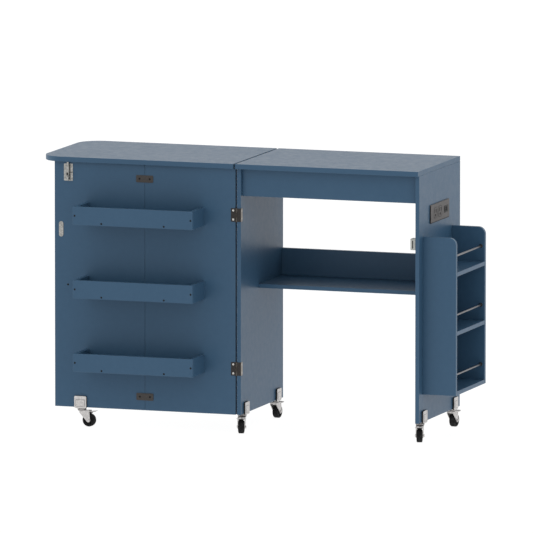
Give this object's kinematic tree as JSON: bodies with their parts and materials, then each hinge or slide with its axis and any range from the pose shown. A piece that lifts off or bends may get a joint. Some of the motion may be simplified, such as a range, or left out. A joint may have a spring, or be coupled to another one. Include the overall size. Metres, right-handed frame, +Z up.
{
  "type": "sewing table",
  "caption": "Folding sewing table: open cabinet on braked casters, drop leaf, hinged door with thread trays, side spool rack, outlet.",
  "frame": {"origin": "on the floor under the centre of the open table", "axes": "+Z up, +X along the worktop towards the spool rack, -Y towards the seated user"},
  "size_m": [1.288, 0.498, 0.809],
  "materials": {
    "painted_board": "satin",
    "gunmetal_rod": "satin",
    "bronze_hardware": "satin",
    "outlet_plastic": "matte",
    "insert_plastic": "matte",
    "catch_plastic": "satin",
    "zinc_steel": "satin",
    "steel_screw": "satin",
    "dark_screw": "satin",
    "dowel_wood": "bare",
    "nickel_steel": "satin",
    "wheel_black": "matte"
  },
  "bodies": {
    "cabinet": {"left_side_panel": "painted_board", "right_side_panel": "painted_board", "top_panel": "painted_board", "front_apron": "painted_board", "rear_apron": "painted_board", "shelf": "painted_board", "shelf_back_rail": "painted_board", "rack_front_panel": "painted_board", "rack_rear_panel": "painted_board", "rack_shelves": "painted_board", "rack_rods": "gunmetal_rod", "rod_flanges": "bronze_hardware", "outlet_face_plate": "outlet_plastic", "outlet_housing": "outlet_plastic", "outlet_inserts": "insert_plastic", "outlet_cord_gland": "insert_plastic", "cabinet_caster_brackets": "zinc_steel", "door_hinge_fixed_leaves": "bronze_hardware", "leaf_hinge_fixed_leaves": "bronze_hardware", "hinge_pins": "bronze_hardware", "cabinet_fitting_screws": "steel_screw", "cabinet_dowels": "dowel_wood", "magnetic_catch": "catch_plastic"},
    "door": {"door_hinge_side_board": "painted_board", "door_free_side_board": "painted_board", "joining_plates": "bronze_hardware", "plate_and_latch_screws": "dark_screw", "tray_fronts": "painted_board", "tray_ends": "painted_board", "tray_bottoms": "painted_board", "tray_and_knob_screws": "dark_screw", "door_fitting_screws": "steel_screw", "latch_base": "nickel_steel", "strike_plate": "nickel_steel", "door_knob": "nickel_steel", "door_hinge_moving_leaves": "bronze_hardware", "door_caster_bracket": "zinc_steel"},
    "latch_bolt": {"latch_bolt": "nickel_steel"},
    "drop_leaf": {"drop_leaf": "painted_board", "leaf_hinge_moving_leaves": "bronze_hardware"},
    "front_left_caster": {"front_left_caster_fork": "zinc_steel", "front_left_caster_axle": "zinc_steel"},
    "front_left_wheel": {"front_left_caster_wheel": "wheel_black"},
    "front_left_brake": {"front_left_caster_brake_lever": "zinc_steel"},
    "front_right_caster": {"front_right_caster_fork": "zinc_steel", "front_right_caster_axle": "zinc_steel"},
    "front_right_wheel": {"front_right_caster_wheel": "wheel_black"},
    "front_right_brake": {"front_right_caster_brake_lever": "zinc_steel"},
    "rear_left_caster": {"rear_left_caster_fork": "zinc_steel", "rear_left_caster_axle": "zinc_steel"},
    "rear_left_wheel": {"rear_left_caster_wheel": "wheel_black"},
    "rear_left_brake": {"rear_left_caster_brake_lever": "zinc_steel"},
    "rear_right_caster": {"rear_right_caster_fork": "zinc_steel", "rear_right_caster_axle": "zinc_steel"},
    "rear_right_wheel": {"rear_right_caster_wheel": "wheel_black"},
    "rear_right_brake": {"rear_right_caster_brake_lever": "zinc_steel"},
    "door_caster": {"door_caster_fork": "zinc_steel", "door_caster_axle": "zinc_steel"},
    "door_wheel": {"door_caster_wheel": "wheel_black"},
    "door_brake": {"door_caster_brake_lever": "zinc_steel"}
  },
  "joints": [
    {"name": "door_swing", "type": "hinge", "parent": "cabinet", "child": "door", "pos_m": [-0.02955, -0.1402, 0.425], "axis": [0, 0, 1], "range_deg": [0, 180]},
    {"name": "leaf_lift", "type": "hinge", "parent": "cabinet", "child": "drop_leaf", "pos_m": [-0.0316, 0.055, 0.7912], "axis": [0, 1, 0], "range_deg": [0, 15]},
    {"name": "bolt_slide", "type": "slide", "parent": "door", "child": "latch_bolt", "axis": [0, 0, 1], "range_m": [0, 0.008]},
    {"name": "front_left_swivel", "type": "hinge", "parent": "cabinet", "child": "front_left_caster", "pos_m": [-0.026, -0.095, 0.05], "axis": [0, 0, 1], "continuous": true},
    {"name": "front_left_roll", "type": "hinge", "parent": "front_left_caster", "child": "front_left_wheel", "pos_m": [-0.02083, -0.11741, 0.0195], "axis": [0.9744, 0.225, 0], "continuous": true},
    {"name": "front_left_brake_press", "type": "hinge", "parent": "front_left_caster", "child": "front_left_brake", "pos_m": [-0.0206, -0.11838, 0.0432], "axis": [0.9744, 0.225, 0], "range_deg": [0, 14]},
    {"name": "front_right_swivel", "type": "hinge", "parent": "cabinet", "child": "front_right_caster", "pos_m": [0.53, -0.095, 0.05], "axis": [0, 0, 1], "continuous": true},
    {"name": "front_right_roll", "type": "hinge", "parent": "front_right_caster", "child": "front_right_wheel", "pos_m": [0.53595, -0.11722, 0.0195], "axis": [0.9659, 0.2588, 0], "continuous": true},
    {"name": "front_right_brake_press", "type": "hinge", "parent": "front_right_caster", "child": "front_right_brake", "pos_m": [0.53621, -0.11818, 0.0432], "axis": [0.9659, 0.2588, 0], "range_deg": [0, 14]},
    {"name": "rear_left_swivel", "type": "hinge", "parent": "cabinet", "child": "rear_left_caster", "pos_m": [-0.026, 0.198, 0.05], "axis": [0, 0, 1], "continuous": true},
    {"name": "rear_left_roll", "type": "hinge", "parent": "rear_left_caster", "child": "rear_left_wheel", "pos_m": [-0.0236, 0.22087, 0.0195], "axis": [-0.9945, 0.1045, 0], "continuous": true},
    {"name": "rear_left_brake_press", "type": "hinge", "parent": "rear_left_caster", "child": "rear_left_brake", "pos_m": [-0.02349, 0.22187, 0.0432], "axis": [-0.9945, 0.1045, 0], "range_deg": [0, 14]},
    {"name": "rear_right_swivel", "type": "hinge", "parent": "cabinet", "child": "rear_right_caster", "pos_m": [0.53, 0.198, 0.05], "axis": [0, 0, 1], "continuous": true},
    {"name": "rear_right_roll", "type": "hinge", "parent": "rear_right_caster", "child": "rear_right_wheel", "pos_m": [0.5328, 0.22083, 0.0195], "axis": [-0.9925, 0.1219, 0], "continuous": true},
    {"name": "rear_right_brake_press", "type": "hinge", "parent": "rear_right_caster", "child": "rear_right_brake", "pos_m": [0.53292, 0.22182, 0.0432], "axis": [-0.9925, 0.1219, 0], "range_deg": [0, 14]},
    {"name": "door_swivel", "type": "hinge", "parent": "door", "child": "door_caster", "pos_m": [-0.519, -0.128, 0.05], "axis": [0, 0, 1], "continuous": true},
    {"name": "door_roll", "type": "hinge", "parent": "door_caster", "child": "door_wheel", "pos_m": [-0.496, -0.128, 0.0195], "axis": [0, 1, 0], "continuous": true},
    {"name": "door_brake_press", "type": "hinge", "parent": "door_caster", "child": "door_brake", "pos_m": [-0.495, -0.128, 0.0432], "axis": [0, 1, 0], "range_deg": [0, 14]}
  ]
}
